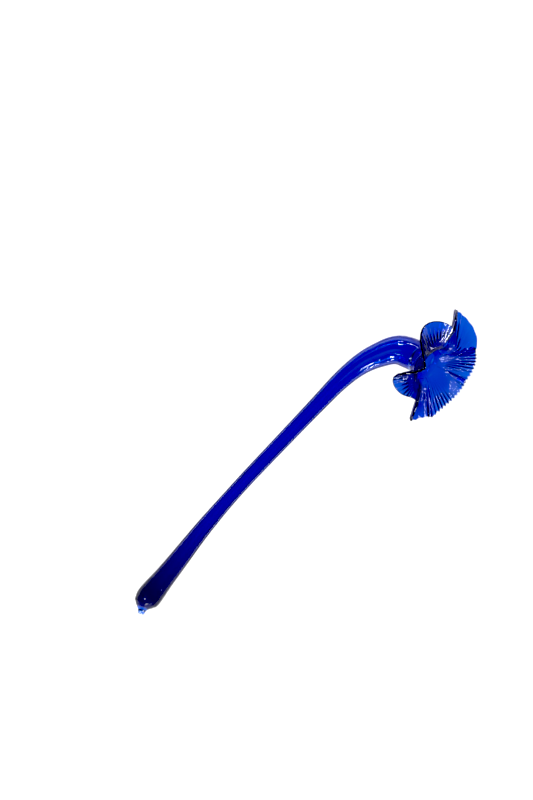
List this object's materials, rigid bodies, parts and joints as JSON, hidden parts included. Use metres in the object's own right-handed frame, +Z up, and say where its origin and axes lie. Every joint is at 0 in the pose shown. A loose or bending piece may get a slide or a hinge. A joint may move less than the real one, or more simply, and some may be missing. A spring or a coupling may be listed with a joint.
{
  "type": "long-stemmed glass flower",
  "caption": "Hand-blown hollow cobalt glass flower on a long curved stem with a bulbous pinched-off end, a trumpet throat and ruffled, ribbed petals, lying on its side",
  "frame": {"origin": "On the table, under the middle of the bounding box of the whole flower as it lies", "axes": "+Z up from the table, +X along the stem from the tip towards the flower, +Y away from the side that the flower looks to"},
  "size_m": [0.413, 0.0993, 0.0771],
  "materials": {
    "tip_glass": "gloss",
    "stem_glass": "gloss",
    "throat_glass": "gloss",
    "petal_glass": "gloss"
  },
  "bodies": {
    "root": {"tip": "tip_glass", "stem": "stem_glass", "throat": "throat_glass", "petal_top": "petal_glass", "petal_left": "petal_glass", "petal_low_left": "petal_glass", "petal_low": "petal_glass", "petal_right": "petal_glass", "petal_tall": "petal_glass"}
  },
  "joints": []
}
